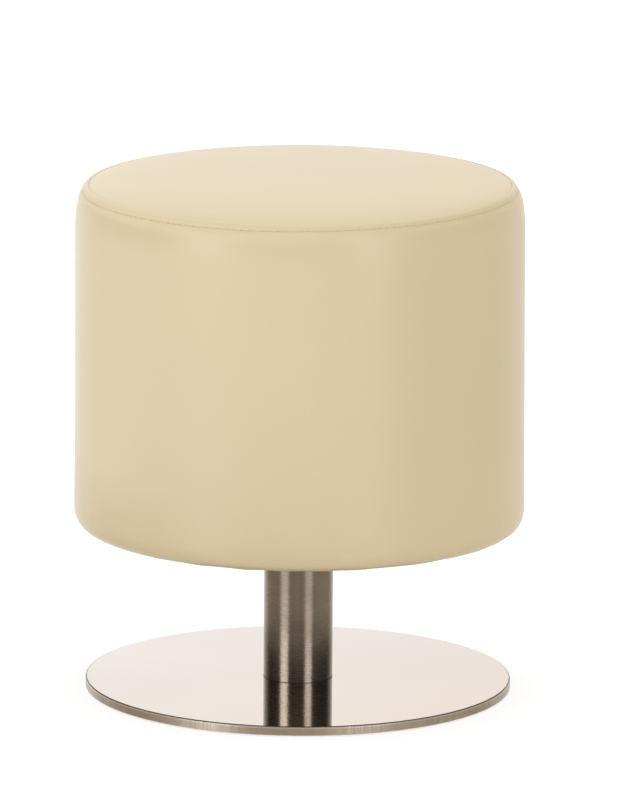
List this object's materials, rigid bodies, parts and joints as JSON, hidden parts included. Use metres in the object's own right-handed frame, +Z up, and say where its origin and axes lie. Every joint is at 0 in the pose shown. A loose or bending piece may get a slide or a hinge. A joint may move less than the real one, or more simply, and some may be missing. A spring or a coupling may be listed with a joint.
{
  "type": "swivel drum stool",
  "caption": "Low round upholstered drum stool that swivels on a short steel column and a flat round base plate.",
  "frame": {"origin": "centre of the stool on the floor", "axes": "+Z up along the column, which is the axis that the seat turns about; -Y towards the viewer"},
  "size_m": [0.39, 0.39, 0.45],
  "materials": {
    "leatherette": "satin",
    "polished_steel": "polished",
    "brushed_steel": "satin",
    "machined_steel": "satin",
    "bearing_steel": "polished",
    "zinc_steel": "satin",
    "black_steel": "satin",
    "bush_bronze": "satin",
    "floor_rubber": "matte",
    "dust_cloth": "matte",
    "plywood": "matte",
    "hardboard": "matte",
    "foam": "matte"
  },
  "bodies": {
    "base": {"base_plate": "polished_steel", "floor_ring": "floor_rubber", "column_tube": "brushed_steel", "column_foot": "machined_steel", "foot_screw_1": "zinc_steel", "foot_screw_2": "zinc_steel", "foot_screw_3": "zinc_steel", "foot_screw_4": "zinc_steel", "bearing_housing": "machined_steel", "upper_bush": "bush_bronze", "lower_bush": "bush_bronze", "lower_race": "bearing_steel"},
    "bearing_cage": {"ball_cage": "bush_bronze", "bearing_ball_1": "bearing_steel", "bearing_ball_2": "bearing_steel", "bearing_ball_3": "bearing_steel", "bearing_ball_4": "bearing_steel", "bearing_ball_5": "bearing_steel", "bearing_ball_6": "bearing_steel", "bearing_ball_7": "bearing_steel", "bearing_ball_8": "bearing_steel", "bearing_ball_9": "bearing_steel", "bearing_ball_10": "bearing_steel", "bearing_ball_11": "bearing_steel", "bearing_ball_12": "bearing_steel"},
    "seat": {"upper_race": "bearing_steel", "spindle": "machined_steel", "spindle_washer": "zinc_steel", "spindle_circlip": "zinc_steel", "seat_plate": "black_steel", "seat_washer_1": "zinc_steel", "seat_washer_2": "zinc_steel", "seat_washer_3": "zinc_steel", "seat_washer_4": "zinc_steel", "seat_bolt_1": "zinc_steel", "seat_bolt_2": "zinc_steel", "seat_bolt_3": "zinc_steel", "seat_bolt_4": "zinc_steel", "tee_nut_1": "zinc_steel", "tee_nut_2": "zinc_steel", "tee_nut_3": "zinc_steel", "tee_nut_4": "zinc_steel", "dust_cover": "dust_cloth", "bottom_board": "plywood", "upright_batten_1": "plywood", "upright_batten_2": "plywood", "upright_batten_3": "plywood", "upright_batten_4": "plywood", "upright_batten_5": "plywood", "upright_batten_6": "plywood", "top_board": "plywood", "drum_wall": "hardboard", "side_padding": "foam", "top_padding": "foam", "side_cover": "leatherette", "top_cover": "leatherette"}
  },
  "joints": [
    {"name": "seat_swivel", "type": "hinge", "parent": "base", "child": "seat", "pos_m": [0, 0, 0.1347], "axis": [0, 0, 1], "continuous": true},
    {"name": "cage_spin", "type": "hinge", "parent": "base", "child": "bearing_cage", "pos_m": [0, 0, 0.1292], "axis": [0, 0, 1], "continuous": true}
  ],
  "couplings": [
    {"joint": "cage_spin", "follows": "seat_swivel", "ratio": 0.5}
  ]
}
